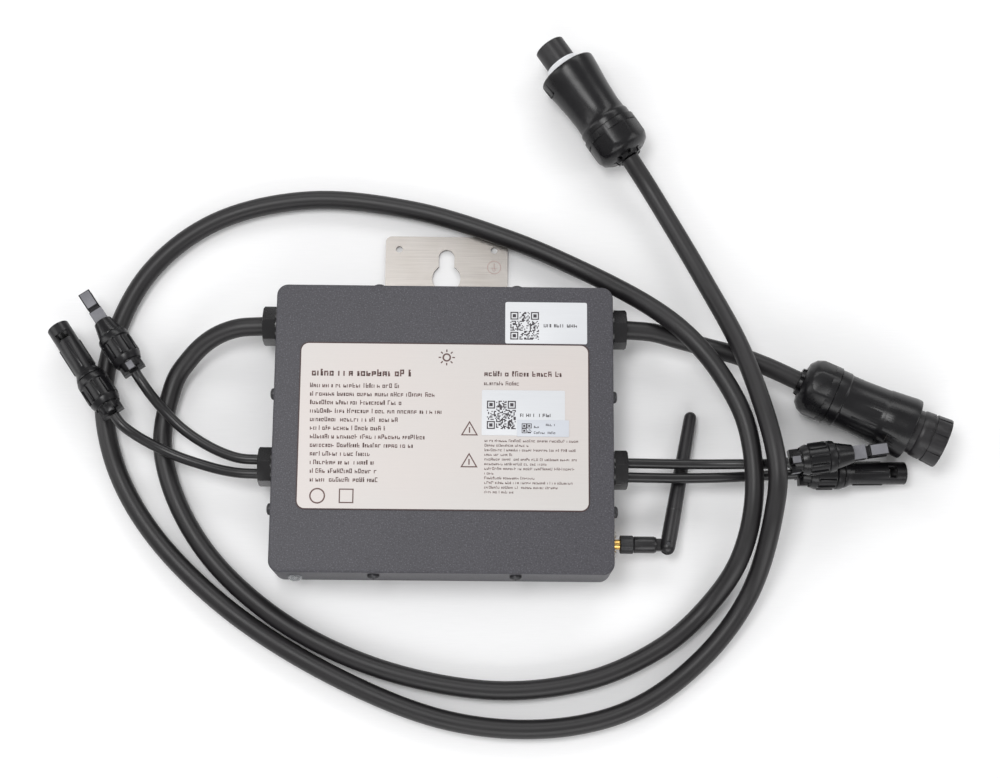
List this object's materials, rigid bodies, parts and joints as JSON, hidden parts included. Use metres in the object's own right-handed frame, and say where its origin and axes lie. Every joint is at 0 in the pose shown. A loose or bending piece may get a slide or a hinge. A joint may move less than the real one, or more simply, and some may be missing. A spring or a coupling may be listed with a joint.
{
  "type": "micro inverter",
  "caption": "Flat solar micro inverter in a grey metal housing with a keyhole bracket, AC trunk cable and plug, AC outlet socket, DC leads with connectors and a folding antenna.",
  "frame": {"origin": "centre of the housing's underside, the face it rests on", "axes": "+Z out of the rating plate, +Y towards the mounting bracket, +X towards the side with the antenna"},
  "size_m": [0.5758, 0.4568, 0.0522],
  "materials": {
    "housing_coat": "textured powder coat",
    "cover_coat": "textured powder coat",
    "rating_foil": "satin printed foil",
    "white_label": "matt printed label",
    "stainless": "brushed",
    "black_screws": "black zinc",
    "plain_screws": "plain zinc",
    "gland_plastic": "semi-gloss moulded",
    "connector_plastic": "semi-gloss moulded",
    "socket_insert": "satin moulded",
    "seal_ring": "white silicone",
    "black_rubber": "matt",
    "cable_jacket": "satin jacket",
    "clear_lens": "clear dome",
    "gold_plate": "gold plated",
    "antenna_plastic": "satin moulded",
    "nut_metal": "black chromate",
    "board_green": "solder mask",
    "ferrite_copper": "wound core",
    "capacitor_can": "sleeved can",
    "component_plastic": "moulded",
    "film_yellow": "wrapped film",
    "aluminium_bar": "machined",
    "thermal_filler": "soft pad"
  },
  "bodies": {
    "root": {"base_housing": "housing_coat", "top_cover": "cover_coat", "cover_gasket": "black_rubber", "cover_screws": "black_screws", "rating_plate": "rating_foil", "data_stickers": "white_label", "mounting_bracket": "stainless", "bracket_screws": "plain_screws", "status_led_lens": "clear_lens", "left_ac_gland": "gland_plastic", "right_ac_gland": "gland_plastic", "left_dc_gland": "gland_plastic", "right_dc_gland": "gland_plastic", "gland_seals": "black_rubber", "gland_lock_nuts": "gland_plastic", "cable_tails": "cable_jacket", "circuit_board": "board_green", "board_screws": "plain_screws", "transformers": "ferrite_copper", "input_capacitors": "capacitor_can", "film_capacitors": "film_yellow", "output_choke": "ferrite_copper", "grid_relays": "component_plastic", "power_transistors": "component_plastic", "clamp_bar": "aluminium_bar", "thermal_pads": "thermal_filler", "control_chips": "component_plastic", "cable_terminals": "component_plastic", "wifi_module": "aluminium_bar", "antenna_pigtail": "cable_jacket", "antenna_jack": "gold_plate", "jack_screws": "black_screws", "trunk_cable": "cable_jacket", "ac_short_cable": "cable_jacket", "dc_plug_lead_left": "cable_jacket", "dc_socket_lead_left": "cable_jacket", "dc_plug_lead_right": "cable_jacket", "dc_socket_lead_right": "cable_jacket", "ac_plug_shell": "connector_plastic", "ac_plug_nut": "connector_plastic", "ac_plug_spigot": "socket_insert", "ac_plug_ring": "seal_ring", "ac_socket_shell": "connector_plastic", "ac_socket_nut": "connector_plastic", "ac_socket_insert": "socket_insert", "ac_contacts": "gold_plate", "dc_plug_left": "connector_plastic", "dc_plug_left_nut": "connector_plastic", "dc_socket_left": "connector_plastic", "dc_socket_left_nut": "connector_plastic", "dc_plug_right": "connector_plastic", "dc_plug_right_nut": "connector_plastic", "dc_socket_right": "connector_plastic", "dc_socket_right_nut": "connector_plastic", "dc_contacts": "gold_plate"},
    "antenna_nut": {"antenna_nut": "nut_metal"},
    "antenna_base": {"antenna_barrel": "antenna_plastic", "tilt_pin": "plain_screws"},
    "antenna_whip": {"antenna_whip": "antenna_plastic", "antenna_element": "gold_plate"}
  },
  "joints": [
    {"name": "nut_turn", "type": "hinge", "parent": "root", "child": "antenna_nut", "pos_m": [0.1155, -0.0688, 0.013], "axis": [1, 0, 0], "continuous": true},
    {"name": "antenna_swivel", "type": "hinge", "parent": "root", "child": "antenna_base", "pos_m": [0.125, -0.0688, 0.013], "axis": [1, 0, 0], "continuous": true},
    {"name": "antenna_tilt", "type": "hinge", "parent": "antenna_base", "child": "antenna_whip", "pos_m": [0.1416, -0.0688, 0.013], "axis": [0, 0.0872, 0.9962], "range_deg": [-79, 11]}
  ]
}
